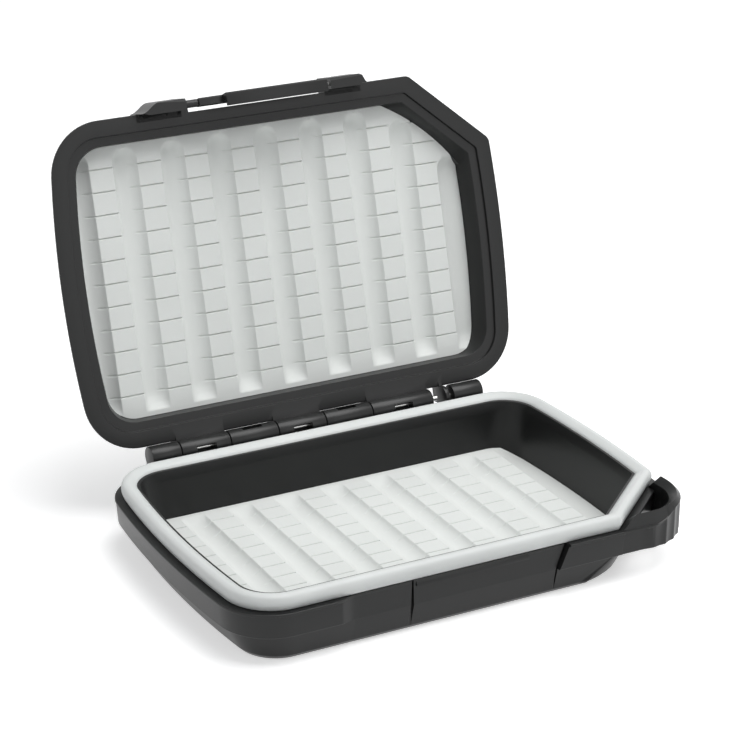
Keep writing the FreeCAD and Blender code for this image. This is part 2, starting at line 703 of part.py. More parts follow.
# Lanyard loop across the cut-off corner, moulded onto the base's band
def lanyard_loop():
    """Wall that carries the front line on, turns round the corner and comes back to the side."""
    wall = size("loop_wall")
    radius = size("loop_radius")
    turn_x = half_length - size("loop_inset") - radius
    low = ledge - size("loop_drop")
    high = ledge + size("loop_rise")
    reach = turn_x + radius
    turn_y = -half_depth + radius
    start = cut_a[0] - wall
    up = FreeCAD.Vector(0, 0, high - low)

    def outer_face(inset, z):
        centre = (turn_x, turn_y)
        arc, first, last = arc_edge(centre, radius - inset, -math.pi / 2, 0, z)
        corner_b = FreeCAD.Vector(cut_b[0] - inset, cut_b[1], z)
        inner = FreeCAD.Vector(start, cut_b[1], z)
        begin = FreeCAD.Vector(start, -half_depth + inset, z)
        sides = [Part.makeLine(begin, first), arc, Part.makeLine(last, corner_b),
                 Part.makeLine(corner_b, inner), Part.makeLine(inner, begin)]
        return Part.Face(Part.Wire(sides))

    solid = outer_face(0, low).extrude(up)
    solid = solid.cut(outer_face(wall, low - size("overrun")).extrude(up * 2))
    over = size("overrun")
    bevel_wires = [outer_face(wall, high - size("loop_bevel_drop")).OuterWire,
                   outer_face(wall - size("loop_bevel"), high).OuterWire]
    solid = solid.cut(Part.makeLoft(bevel_wires, True, True))
    keep_out = stack([
        outline(low - over, side_foot, face_inset, corner - face_inset, vertex),
        outline(band_foot, side_foot, face_inset, corner - face_inset, vertex),
        outline(lip_foot, -side_head, face_inset, corner - face_inset, vertex),
        outline(lip_foot, -side_lip, 0, corner, vertex),
        outline(high + over, -side_lip, 0, corner, vertex),
    ])
    solid = solid.cut(keep_out)
    # top runs up from the ledge in an S and down again at the side
    step_start = cut_a[0] - size("loop_before_cut")
    step = size("loop_step")
    run_part = step * size("step_run_share")
    rise_part = size("loop_rise") * size("step_rise_share")
    ramp = [(start - over, ledge), (step_start, ledge), (step_start + run_part, ledge + rise_part),
            (step_start + step - run_part, high - rise_part), (step_start + step, high),
            (step_start + step, high + over), (start - over, high + over)]
    front = -half_depth
    solid = solid.cut(prism_y(front - over, front + wall + over, ramp))
    end_y = cut_b[1]
    slope = [(end_y - size("loop_end_slope"), high + over), (end_y - size("loop_end_slope"), high),
             (end_y, ledge), (end_y + over, ledge), (end_y + over, high + over)]
    solid = solid.cut(prism_x(turn_x, reach + wall, slope))
    # thumb grip: upright hollows round the outer corner
    groove = size("grip_radius")
    stand_off = radius + groove - size("grip_depth")
    for index in range(grip_count):
        angle = -math.pi / 4 + (index - (grip_count - 1) / 2) * size("grip_pitch") / radius
        foot = FreeCAD.Vector(turn_x + stand_off * math.cos(angle), turn_y + stand_off * math.sin(angle), low - over)
        solid = solid.cut(Part.makeCylinder(groove, size("loop_drop") + over, foot))
    return solid


feature("lanyard_loop", lanyard_loop())

doc.recompute()
parts = [thing for thing in doc.Objects
         if thing.TypeId in ("Part::Feature", "Part::Cylinder", "PartDesign::Body")]
for thing in doc.Objects:
    if "Invalid" in thing.State or "Error" in thing.State:
        raise RuntimeError("%s failed: %s" % (thing.Name, thing.State))
for thing in parts:
    if thing.Shape.isNull() or not thing.Shape.isValid():
        raise RuntimeError("%s has no valid shape" % thing.Label)
    if len(thing.Shape.Solids) != 1:
        raise RuntimeError("%s has %d solids" % (thing.Label, len(thing.Shape.Solids)))
os.makedirs("parts", exist_ok=True)
for thing in parts:
    thing.Shape.exportStep("parts/%s.step" % thing.Label)
    box = thing.Shape.BoundBox
    print("%-20s volume %9.1f  x %7.2f %7.2f  y %7.2f %7.2f  z %7.2f %7.2f"
          % (thing.Label, thing.Shape.Volume, box.XMin, box.XMax, box.YMin, box.YMax, box.ZMin, box.ZMax))
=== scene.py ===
import math

import bmesh
import bpy
from mathutils import Matrix, Vector


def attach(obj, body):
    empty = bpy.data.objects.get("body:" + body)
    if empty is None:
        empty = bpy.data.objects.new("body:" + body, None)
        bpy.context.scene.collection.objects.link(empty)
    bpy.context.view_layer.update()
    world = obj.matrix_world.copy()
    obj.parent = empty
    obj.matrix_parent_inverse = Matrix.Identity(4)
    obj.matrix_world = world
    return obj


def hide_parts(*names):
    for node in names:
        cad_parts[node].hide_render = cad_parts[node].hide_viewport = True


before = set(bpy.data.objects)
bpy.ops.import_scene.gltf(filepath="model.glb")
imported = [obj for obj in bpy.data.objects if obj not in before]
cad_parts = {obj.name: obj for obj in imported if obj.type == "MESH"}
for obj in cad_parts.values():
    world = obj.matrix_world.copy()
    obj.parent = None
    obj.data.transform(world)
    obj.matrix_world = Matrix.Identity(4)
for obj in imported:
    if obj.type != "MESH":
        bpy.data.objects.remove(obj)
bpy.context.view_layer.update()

# View: a plain pale floor, soft studio lamps round the box and a long lens in front of its left end.
# The floor goes to white where it is fully lit and keeps the box's soft shadow.
scene = bpy.context.scene
scene.view_settings.view_transform = "Standard"

LENS = 124.67
LENS_DISTANCE = 0.6952
LENS_TURN = math.radians(-28.236)
LENS_RISE = math.radians(22.680)
LENS_ROLL = math.radians(0.411)
LOOK_AT = Vector((-0.011185, -0.002335, 0.059442))

back = Vector((math.sin(LENS_TURN) * math.cos(LENS_RISE),
               -math.cos(LENS_TURN) * math.cos(LENS_RISE), math.sin(LENS_RISE)))
right = Vector((0, 0, 1)).cross(back).normalized()
up = back.cross(right)
level = Matrix((right, up, back)).transposed()
camera_data = bpy.data.cameras.new("camera")
camera_data.lens = LENS
camera_data.sensor_width = 36
camera_data.clip_start = 0.05
camera_data.clip_end = 20
camera = bpy.data.objects.new("camera", camera_data)
scene.collection.objects.link(camera)
camera.matrix_world = (Matrix.Translation(LOOK_AT + back * LENS_DISTANCE)
                       @ level.to_4x4() @ Matrix.Rotation(LENS_ROLL, 4, "Z"))
scene.camera = camera


def lamp(name, place, aim, size, power):
    """A square soft lamp at place, turned towards aim."""
    data = bpy.data.lights.new(name, "AREA")
    data.size = size
    data.energy = power
    thing = bpy.data.objects.new(name, data)
    scene.collection.objects.link(thing)
    turn = (Vector(place) - Vector(aim)).to_track_quat("Z", "Y")
    thing.matrix_world = Matrix.Translation(Vector(place)) @ turn.to_matrix().to_4x4()


lamp("lamp_above", place=(0.25, -0.14, 1.0), aim=(0, 0.02, 0.03), size=0.8, power=9.2)
lamp("lamp_left", place=(-0.9, -0.55, 0.55), aim=(0, 0.02, 0.05), size=0.6, power=1.3)
lamp("lamp_front", place=(0.5, -1.1, 0.5), aim=(0, 0.02, 0.05), size=0.6, power=1.0)


def seen_or_mirrored(nodes, links):
    """1 on rays from the camera, from a mirror and through glass, 0 on the rays that light a surface."""
    path = nodes.new("ShaderNodeLightPath")
    first = nodes.new("ShaderNodeMath")
    second = nodes.new("ShaderNodeMath")
    for step in (first, second):
        step.operation = "MAXIMUM"
    links.new(path.outputs["Is Camera Ray"], first.inputs[0])
    links.new(path.outputs["Is Glossy Ray"], first.inputs[1])
    links.new(first.outputs[0], second.inputs[0])
    links.new(path.outputs["Is Transmission Ray"], second.inputs[1])
    return second.outputs[0]


SKY_GLOW, FLOOR_GLOW = 0.27, 0.52
FLOOR_HALF, FLOOR_DROP = 6, 0.0003

world = bpy.data.worlds.new("studio")
scene.world = world
world.use_nodes = True
sky_nodes, sky_links = world.node_tree.nodes, world.node_tree.links
sky_nodes.clear()
sky_out = sky_nodes.new("ShaderNodeOutputWorld")
sky_mix = sky_nodes.new("ShaderNodeMixShader")
sky_light = sky_nodes.new("ShaderNodeBackground")
sky_seen = sky_nodes.new("ShaderNodeBackground")
sky_light.inputs["Color"].default_value = (0.96, 0.98, 1.0, 1)
sky_light.inputs["Strength"].default_value = SKY_GLOW
sky_seen.inputs["Color"].default_value = (1, 1, 1, 1)
sky_seen.inputs["Strength"].default_value = 1.0
sky_links.new(seen_or_mirrored(sky_nodes, sky_links), sky_mix.inputs["Fac"])
sky_links.new(sky_light.outputs[0], sky_mix.inputs[1])
sky_links.new(sky_seen.outputs[0], sky_mix.inputs[2])
sky_links.new(sky_mix.outputs[0], sky_out.inputs["Surface"])

floor_bm = bmesh.new()
bmesh.ops.create_grid(floor_bm, x_segments=1, y_segments=1, size=FLOOR_HALF)
bmesh.ops.translate(floor_bm, vec=(0, 0, -FLOOR_DROP), verts=floor_bm.verts)
floor_mesh = bpy.data.meshes.new("floor")
floor_bm.to_mesh(floor_mesh)
floor_bm.free()
floor = bpy.data.objects.new("floor", floor_mesh)
scene.collection.objects.link(floor)
floor_paint = bpy.data.materials.new("floor_paint")
floor_paint.use_nodes = True
nodes, links = floor_paint.node_tree.nodes, floor_paint.node_tree.links
nodes.clear()
floor_out = nodes.new("ShaderNodeOutputMaterial")
floor_add = nodes.new("ShaderNodeAddShader")
floor_skin = nodes.new("ShaderNodeBsdfDiffuse")
floor_lift = nodes.new("ShaderNodeEmission")
floor_level = nodes.new("ShaderNodeMath")
floor_level.operation = "MULTIPLY"
floor_level.inputs[1].default_value = FLOOR_GLOW
floor_skin.inputs["Color"].default_value = (0.86, 0.86, 0.86, 1)
links.new(seen_or_mirrored(nodes, links), floor_level.inputs[0])
links.new(floor_level.outputs[0], floor_lift.inputs["Strength"])
links.new(floor_skin.outputs[0], floor_add.inputs[0])
links.new(floor_lift.outputs[0], floor_add.inputs[1])
links.new(floor_add.outputs[0], floor_out.inputs["Surface"])
floor_mesh.materials.append(floor_paint)

# Base shell: the tray of the box, moulded in one piece of satin black plastic with a drafted underside,
# a band round the top, a lip inside the ledge for the gasket and a recess in front for the latch.
# Sizes are in millimetres until a piece is finished; x runs along the hinge and z up from the table.
MM = 0.001
HALF_LENGTH = 72.5
HALF_DEPTH = 47.665
LEFT_BOW = 3.6
RIGHT_BOW = 3.1
CORNER = 16.0
VERTEX = 3.0
INNER_VERTEX = 1.5
LOWER_VERTEX = 22.0
CUT_ALONG_FRONT = 26.3
CUT_ALONG_SIDE = 22.3
LEDGE = 15.6
BAND = 7.3
BAND_FOOT = LEDGE - BAND
BAND_LIP = 0.7
BAND_FACE = 0.5
SIDE_LIP = 0.65
SIDE_HEAD = 0.4
SIDE_FOOT = 0.1
BASE_OVERHANG = 1.75
DRAFT_SIDES = 4.9
DRAFT_FRONT = 3.4
LOWER_CORNER = 12.0
LOWER_EDGE = 1.3
BASE_FLOOR = 1.2
GLUE, BASE_FOAM = 0.2, 2.4
LIP_OUT, LIP_IN, LIP_TOP = 5.75, 6.55, LEDGE + 3.08
TOP_ROUND = 0.3
WALL_TOP, WALL_SIDES, WALL_ENDS, CUT_BOW = 7.2, 9.1, 7.8, 1.84
FRONT_LEFT, FRONT_RIGHT = -51.0, 36.5
RECESS_DEPTH = 1.75
RECESS_LEFT = -37.0
RECESS_BLEND = 7.0
RECESS_RIGHT = 28.6
RECESS_LEAN = 3.08
RELIEF_DEPTH = 0.9
RELIEF_X = -20.0
RELIEF_TOP, RELIEF_FOOT, RELIEF_SIDE = 0.15, 0.4, 0.08
END_TOP, END_FOOT, END_SIDE = 1.15, 0.47, 0.1

LEFT_RADIUS = (HALF_DEPTH ** 2 + LEFT_BOW ** 2) / (2 * LEFT_BOW)
RIGHT_RADIUS = (HALF_DEPTH ** 2 + RIGHT_BOW ** 2) / (2 * RIGHT_BOW)
LEFT_CENTRE = LEFT_RADIUS - HALF_LENGTH
RIGHT_CENTRE = HALF_LENGTH - RIGHT_RADIUS
CUT_A = Vector((HALF_LENGTH - CUT_ALONG_FRONT, -HALF_DEPTH))
CUT_B_Y = -HALF_DEPTH + CUT_ALONG_SIDE
CUT_B = Vector((RIGHT_CENTRE + math.sqrt(RIGHT_RADIUS ** 2 - CUT_B_Y ** 2), CUT_B_Y))
CUT_WAY = (CUT_B - CUT_A).normalized()
CUT_IN = Vector((-CUT_WAY.y, CUT_WAY.x))
QUARTER = math.pi / 2
NEAR, HAIRLINE = 0.01, 0.001
CORNER_POINTS, BACK_POINTS, LEFT_POINTS, RIGHT_POINTS = 17, 34, 22, 18
VERTEX_POINTS, CUT_POINTS = 7, 14
BEFORE_FRONT = 3 * CORNER_POINTS + BACK_POINTS - 2 + LEFT_POINTS - 2


def spread(first, last, count):
    """Evenly spaced numbers from first to last, both kept."""
    return [first + (last - first) * step / (count - 1) for step in range(count)]


def turn_round(centre, radius, start, end, count):
    """Points along an arc, both ends kept."""
    return [(centre[0] + radius * math.cos(angle), centre[1] + radius * math.sin(angle))
            for angle in spread(start, end, count)]


def smooth_step(t):
    """A share from 0 to 1 that starts and stops gently."""
    t = min(max(t, 0.0), 1.0)
    return t * t * (3 - 2 * t)


def plan(sides, ends, corner, vertex, stations, bow=0.0):
    """The box's plan line drawn in by sides and ends, as points that start at the right end of the back.
    The front line runs through the x places in stations, and a bow rounds the cut edge outwards."""
    far = HALF_DEPTH - ends
    left_r, right_r = LEFT_RADIUS - sides, RIGHT_RADIUS - sides
    reach_left = math.sqrt((left_r - corner) ** 2 - (far - corner) ** 2)
    reach_right = math.sqrt((right_r - corner) ** 2 - (far - corner) ** 2)
    back_left = (LEFT_CENTRE - reach_left, far - corner)
    front_left = (back_left[0], corner - far)
    back_right = (RIGHT_CENTRE + reach_right, far - corner)
    on_cut = CUT_A + CUT_IN * (sides + bow + vertex)
    along = (vertex - far - on_cut.y) / CUT_WAY.y
    vertex_a = (on_cut.x + CUT_WAY.x * along, vertex - far)
    near = on_cut - Vector((RIGHT_CENTRE, 0))
    half_b = near.dot(CUT_WAY)
    along = -half_b + math.sqrt(half_b ** 2 - near.dot(near) + (right_r - vertex) ** 2)
    vertex_b = on_cut + CUT_WAY * along
    cut_angle = math.atan2(-CUT_IN.y, -CUT_IN.x)
    side_angle = math.atan2(vertex_b.y, vertex_b.x - RIGHT_CENTRE)
    high_angle = math.atan2(back_right[1], back_right[0] - RIGHT_CENTRE)
    left_high = math.pi - math.atan2(back_left[1], LEFT_CENTRE - back_left[0])
    points = turn_round(back_right, corner, high_angle, QUARTER, CORNER_POINTS)
    points += [(x, far) for x in spread(back_right[0], back_left[0], BACK_POINTS)[1:-1]]
    points += turn_round(back_left, corner, QUARTER, left_high, CORNER_POINTS)
    points += turn_round((LEFT_CENTRE, 0), left_r, left_high, 2 * math.pi - left_high, LEFT_POINTS)[1:-1]
    points += turn_round(front_left, corner, 2 * math.pi - left_high, 3 * QUARTER, CORNER_POINTS)
    points += [(x, -far) for x in stations]
    points += turn_round(vertex_a, vertex, -QUARTER, cut_angle, VERTEX_POINTS)
    first_x, first_y = points[-1]
    last = turn_round(vertex_b, vertex, cut_angle, side_angle, VERTEX_POINTS)
    last_x, last_y = last[0]
    for t in spread(0, 1, CUT_POINTS)[1:-1]:
        swell = CUT_IN * (bow * 4 * t * (1 - t))
        points.append((first_x + (last_x - first_x) * t - swell.x,
                       first_y + (last_y - first_y) * t - swell.y))
    points += last
    points += turn_round((RIGHT_CENTRE, 0), right_r, side_angle, high_angle, RIGHT_POINTS)[1:-1]
    return points


def eased(profile, steps=5):
    """The rows of a profile with its corners rounded; the last value of each row is the round's radius."""
    made = []
    for index, row in enumerate(profile):
        here, radius = Vector(row[:6]), row[6]
        if radius == 0 or index in (0, len(profile) - 1):
            made.append(tuple(here))
            continue
        ends = []
        for other in (profile[index - 1], profile[index + 1]):
            way = Vector(other[:6]) - here
            run = math.hypot(way[1], way[5])
            ends.append(here + way * min(radius / run, 0.49))
        for t in spread(0, 1, steps):
            made.append(tuple(ends[0] * (1 - t) ** 2 + here * (2 * t * (1 - t)) + ends[1] * t ** 2))
    return made


def blank(bm):
    """A plain mesh from a bmesh, still in millimetres."""
    mesh = bpy.data.meshes.new("blank")
    bm.to_mesh(mesh)
    bm.free()
    return mesh


def loft(rings, capped=True):
    """A skin from ring to ring: the first ring's edges are extruded and moved to each next one. The ends
    are capped, or else joined to each other for a ring-shaped piece."""
    bm = bmesh.new()
    verts = [bm.verts.new(point) for point in rings[0]]
    edges = [bm.edges.new(pair) for pair in zip(verts, verts[1:] + verts[:1])]
    first = edges
    for ring in rings[1:]:
        made = set(bmesh.ops.extrude_edge_only(bm, edges=edges)["geom"])
        fresh = []
        for vert, point in zip(verts, ring):
            twin = next(e.other_vert(vert) for e in vert.link_edges if e.other_vert(vert) in made)
            twin.co = point
            fresh.append(twin)
        verts = fresh
        edges = [bm.edges.get(pair) for pair in zip(verts, verts[1:] + verts[:1])]
    if capped:
        bmesh.ops.contextual_create(bm, geom=first)
        bmesh.ops.contextual_create(bm, geom=edges)
    else:
        bmesh.ops.bridge_loops(bm, edges=first + edges)
    bmesh.ops.remove_doubles(bm, verts=bm.verts, dist=0.002)
    bmesh.ops.recalc_face_normals(bm, faces=bm.faces)
    return blank(bm)


def joined(mesh, tool, how):
    """The mesh with a tool added (UNION) or cut away (DIFFERENCE)."""
    things = [bpy.data.objects.new("blank", data) for data in (mesh, tool)]
    for thing in things:
        scene.collection.objects.link(thing)
    step = things[0].modifiers.new("join", "BOOLEAN")
    step.object = things[1]
    step.operation = how
    step.solver = "EXACT"
    bpy.context.view_layer.update()
    view = bpy.context.evaluated_depsgraph_get()
    made = bpy.data.meshes.new_from_object(things[0].evaluated_get(view))
    for thing in things:
        bpy.data.objects.remove(thing)
    return made


def slab(outline, x0, x1, bevel):
    """A bar along x over a closed line of (y, z) points, with its end edges bevelled."""
    bm = bmesh.new()
    face = bm.faces.new([bm.verts.new((x0, y, z)) for y, z in outline])
    made = bmesh.ops.extrude_face_region(bm, geom=[face])["geom"]
    moved = [g for g in made if isinstance(g, bmesh.types.BMVert)]
    bmesh.ops.translate(bm, vec=(x1 - x0, 0, 0), verts=moved)
    bmesh.ops.recalc_face_normals(bm, faces=bm.faces)
    rims = [e for e in bm.edges if abs(e.verts[0].co.x - e.verts[1].co.x) < 1e-6]
    bmesh.ops.bevel(bm, geom=rims, offset=bevel, affect="EDGES", segments=2, profile=0.5, material=-1,
                    clamp_overlap=True)
    return blank(bm)


def rod(x0, x1, y, z, radius, segments=32):
    """A round bar along x."""
    bm = bmesh.new()
    place = Matrix.Translation(((x0 + x1) / 2, y, z)) @ Matrix.Rotation(QUARTER, 4, "Y")
    bmesh.ops.create_cone(bm, cap_ends=True, segments=segments, radius1=radius, radius2=radius,
                          depth=x1 - x0, matrix=place)
    return blank(bm)


def box(bm, low, high):
    """Adds a block between two corners."""
    made = bmesh.ops.create_cube(bm, size=1)["verts"]
    middle = [(a + b) / 2 for a, b in zip(low, high)]
    bmesh.ops.scale(bm, vec=[b - a for a, b in zip(low, high)], verts=made)
    bmesh.ops.translate(bm, vec=middle, verts=made)


def plastic(name, colour, roughness, grain, gloss=0.5):
    """Moulded plastic: a faint cloudy tone, a fine spark-eroded grain and an uneven satin."""
    made = bpy.data.materials.new(name)
    made.use_nodes = True
    nodes, links = made.node_tree.nodes, made.node_tree.links
    shader = nodes["Principled BSDF"]
    where = nodes.new("ShaderNodeTexCoord")
    cloud = nodes.new("ShaderNodeTexNoise")
    cloud.inputs["Scale"].default_value = 45
    cloud.inputs["Detail"].default_value = 4
    tone = nodes.new("ShaderNodeValToRGB")
    tone.color_ramp.elements[0].color = (*[c * 0.90 for c in colour], 1)
    tone.color_ramp.elements[1].color = (*[c * 1.10 for c in colour], 1)
    satin = nodes.new("ShaderNodeMapRange")
    satin.inputs["To Min"].default_value = roughness - 0.04
    satin.inputs["To Max"].default_value = roughness + 0.05
    pits = nodes.new("ShaderNodeTexNoise")
    pits.inputs["Scale"].default_value = 3800
    pits.inputs["Detail"].default_value = 2
    relief = nodes.new("ShaderNodeBump")
    relief.inputs["Strength"].default_value = grain
    relief.inputs["Distance"].default_value = 0.00005
    shader.inputs["Specular IOR Level"].default_value = gloss
    for texture in (cloud, pits):
        links.new(where.outputs["Object"], texture.inputs["Vector"])
    links.new(cloud.outputs["Fac"], tone.inputs["Fac"])
    links.new(tone.outputs["Color"], shader.inputs["Base Color"])
    links.new(cloud.outputs["Fac"], satin.inputs["Value"])
    links.new(satin.outputs["Result"], shader.inputs["Roughness"])
    links.new(pits.outputs["Fac"], relief.inputs["Height"])
    links.new(relief.outputs["Normal"], shader.inputs["Normal"])
    return made


def finished(mesh, name, body, material, stands_for=(), sharp=32):
    """A piece in metres at the origin, smooth between its sharp edges, that rides on a body."""
    mesh.name = name
    mesh.transform(Matrix.Diagonal((MM, MM, MM, 1)))
    mesh.polygons.foreach_set("use_smooth", [True] * len(mesh.polygons))
    mesh.set_sharp_from_angle(angle=math.radians(sharp))
    mesh.materials.clear()
    mesh.materials.append(material)
    thing = bpy.data.objects.new(name, mesh)
    scene.collection.objects.link(thing)
    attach(thing, body)
    if stands_for:
        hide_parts(*stands_for)
    return thing


shell_black = plastic("shell_black", (0.0112, 0.0115, 0.0115), 0.32, 0.2, gloss=0.32)


def straight(first, last, count, deep):
    """Upright places along the front, all at one depth."""
    return [(x, x, deep) for x in spread(first, last, count)]


# places along the front: x at the ledge, x at the band's foot, and how deep the front lies there;
# those beside the end slit lean with it
groove = RECESS_DEPTH + RELIEF_DEPTH
recess_foot = RECESS_RIGHT - RECESS_LEAN
places = straight(FRONT_LEFT, -45, 7, 0.0)
places += [(x, x, RECESS_DEPTH * smooth_step((x - RECESS_LEFT + RECESS_BLEND) / RECESS_BLEND))
           for x in spread(RECESS_LEFT - RECESS_BLEND, RECESS_LEFT, 15)]
places += straight(-35.5, -21.5, 8, RECESS_DEPTH)
places += [(RELIEF_X - RELIEF_TOP - RELIEF_SIDE, RELIEF_X - RELIEF_FOOT - RELIEF_SIDE, RECESS_DEPTH),
           (RELIEF_X - RELIEF_TOP, RELIEF_X - RELIEF_FOOT, groove),
           (RELIEF_X + RELIEF_TOP, RELIEF_X + RELIEF_FOOT, groove),
           (RELIEF_X + RELIEF_TOP + RELIEF_SIDE, RELIEF_X + RELIEF_FOOT + RELIEF_SIDE, RECESS_DEPTH)]
places += straight(-18.5, 21.5, 25, RECESS_DEPTH)
places += [(25.0, 23.4, RECESS_DEPTH),
           (RECESS_RIGHT - END_TOP - END_SIDE, recess_foot - END_FOOT - END_SIDE, RECESS_DEPTH),
           (RECESS_RIGHT - END_TOP, recess_foot - END_FOOT, groove),
           (RECESS_RIGHT - END_SIDE, recess_foot - END_SIDE, groove),
           (RECESS_RIGHT, recess_foot, 0.0), (29.4, 26.6, 0.0), (30.6, 28.4, 0.0)]
places += straight(31.8, 37.2, 4, 0.0)


def front_places(z):
    """The front's x places at a height; they lean with the slits."""
    t = min(max((LEDGE - z) / BAND, 0.0), 1.0)
    return [high + (low - high) * t for high, low, _ in places]


lower_corner = (LOWER_CORNER - LOWER_EDGE, LOWER_VERTEX, 0)
# each row: inset of the sides, inset of the ends, corner, vertex, bow of the cut, level, rounding
base_profile = eased([
    (DRAFT_SIDES + LOWER_EDGE, DRAFT_FRONT + LOWER_EDGE, *lower_corner, 0, 0),
    (DRAFT_SIDES + LOWER_EDGE, DRAFT_FRONT + LOWER_EDGE, *lower_corner, HAIRLINE, 0),
    (DRAFT_SIDES, DRAFT_FRONT, LOWER_CORNER, LOWER_VERTEX, 0, LOWER_EDGE, 0.3),
    (BASE_OVERHANG, BASE_OVERHANG, CORNER - BASE_OVERHANG, VERTEX, 0, BAND_FOOT, 0),
    (SIDE_FOOT, BAND_FACE, CORNER - BAND_FACE, VERTEX, 0, BAND_FOOT, 0.35),
    (-SIDE_HEAD, BAND_FACE, CORNER - BAND_FACE, VERTEX, 0, LEDGE - BAND_LIP, 0),
    (-SIDE_LIP, 0, CORNER, VERTEX, 0, LEDGE - BAND_LIP, 0.12),
    (-SIDE_LIP, 0, CORNER, VERTEX, 0, LEDGE, 0.25),
    (LIP_OUT, LIP_OUT, CORNER - LIP_OUT, INNER_VERTEX, 0, LEDGE, 0),
    (LIP_OUT, LIP_OUT, CORNER - LIP_OUT, INNER_VERTEX, 0, LIP_TOP, 0.1),
    (LIP_IN, LIP_IN, CORNER - LIP_OUT, INNER_VERTEX, 0, LIP_TOP, 0.1),
    (WALL_TOP, WALL_TOP, CORNER - WALL_TOP, INNER_VERTEX, 0, LEDGE, 0.4),
    (WALL_SIDES, WALL_ENDS, CORNER - WALL_TOP, INNER_VERTEX, CUT_BOW, BASE_FLOOR + GLUE + BASE_FOAM, 0),
    (WALL_SIDES, WALL_ENDS, CORNER - WALL_TOP, INNER_VERTEX, CUT_BOW, BASE_FLOOR, 0),
])


def pressed(points, depths, rounding, z):
    """A shell's points at one level, with its front drawn in to the depth of each place."""
    made = list(points)
    for index, deep in enumerate(depths, start=BEFORE_FRONT):
        if deep:
            x, y = made[index]
            made[index] = (x, max(y, deep + rounding - HALF_DEPTH))
    return [(x, y, z) for x, y in made]


def base_ring(row):
    """One level of the base, with the latch recess and its slits pressed into the front of the band."""
    sides, ends, corner, vertex, bow, z = row
    points = plan(sides, ends, corner, vertex, front_places(z), bow)
    depths = [deep for _, _, deep in places] if z > BAND_FOOT - NEAR else []
    rounding = min(ends, TOP_ROUND) if z > LEDGE - BAND_LIP + NEAR else 0
    return pressed(points, depths, rounding, z)


base_mesh = loft([base_ring(row) for row in base_profile])

# hinge knuckles of the base: round barrels on webs that grow out of the back, bored for the pins,
# with moulding windows in the long ones
AXIS_Y, AXIS_Z = HALF_DEPTH + 3.07, LEDGE + 3.39
BARREL, BORE = 3.25, 0.82
KNUCKLE_BEVEL = 0.16
WEB_ROOT, BASE_WEB = 5.07, 5.4
KNUCKLES = {"base": [(-53.85, -44.75), (-28.65, -13.25), (2.85, 18.25)],
            "lid": [(-44.45, -28.95), (-12.95, 2.55), (18.55, 39.25)]}
DISC = (43.7, 44.95)
STUB = (46.55, 56.65)
BORES = {"base": (-52.8, STUB[1] - 1.2), "lid": (-60.0, 42.5)}
LONG_KNUCKLE = 12.0
WINDOW_LENGTH, WINDOW_WIDTH, WINDOW_DEPTH = 6.2, 2.0, 5.0


def barrel_outline(near, far, start, stop):
    """A barrel's end view with its web: near and far are the web's levels measured from the axis,
    and the round runs from start to stop in degrees."""
    points = [(-WEB_ROOT, far), (-WEB_ROOT, near)]
    points += turn_round((0, 0), BARREL, math.radians(start), math.radians(stop), 40)
    points.append((WEB_ROOT - BARREL, far))
    return [(AXIS_Y + y, AXIS_Z + z) for y, z in points]


def add_hinge(mesh, owner, line, extra, face):
    """Adds a shell's knuckles, bores them and opens the moulding windows down to the pin.
    The windows open upwards for a face of 1 and downwards for -1, as the box is when it is shut."""
    barrels = bmesh.new()
    for x0, x1 in KNUCKLES[owner] + [extra]:
        barrels.from_mesh(slab(barrel_outline(*line), x0, x1, KNUCKLE_BEVEL))
    mesh = joined(mesh, blank(barrels), "UNION")
    start, stop = BORES[owner]
    mesh = joined(mesh, rod(start, stop, AXIS_Y, AXIS_Z, BORE, segments=40), "DIFFERENCE")
    windows = bmesh.new()
    for x0, x1 in KNUCKLES[owner]:
        if x1 - x0 > LONG_KNUCKLE:
            middle = (x0 + x1) / 2
            z0, z1 = sorted((AXIS_Z, AXIS_Z + face * WINDOW_DEPTH))
            box(windows, (middle - WINDOW_LENGTH / 2, AXIS_Y - WINDOW_WIDTH / 2, z0),
                (middle + WINDOW_LENGTH / 2, AXIS_Y + WINDOW_WIDTH / 2, z1))
    return joined(mesh, blank(windows), "DIFFERENCE")


base_mesh = add_hinge(base_mesh, "base", (LEDGE - AXIS_Z, LEDGE - BASE_WEB - AXIS_Z, 225, -45), STUB, 1)

# the catch: a low bar across the recess with a sloping nose, under which the latch's hook snaps
CATCH_DROP, CATCH_HEIGHT = 0.4, 1.5
CATCH_FACE, CATCH_ROOT = -46.4, -44.9
NOSE_BACK, NOSE_DROP = 0.5, 0.75
CATCH_ENDS, CATCH_BEVEL = (-19, 16), 0.15
catch_top = LEDGE - CATCH_DROP
catch_foot = catch_top - CATCH_HEIGHT
catch_line = [(CATCH_ROOT, catch_top), (CATCH_FACE + NOSE_BACK, catch_top),
              (CATCH_FACE, catch_top - NOSE_DROP), (CATCH_FACE, catch_foot), (CATCH_ROOT, catch_foot)]
base_mesh = joined(base_mesh, slab(catch_line, *CATCH_ENDS, CATCH_BEVEL), "UNION")
finished(base_mesh, "base_tray", "base", shell_black, ["base_shell"])

# Gasket: a soft white silicone ring stretched round the base's lip, with a full bulge outside
# and a slope inside that ends at the top of the lip.
GASKET_BORE, GASKET_FOOT, GASKET_HEIGHT = 5.8, 0.02, 4.6
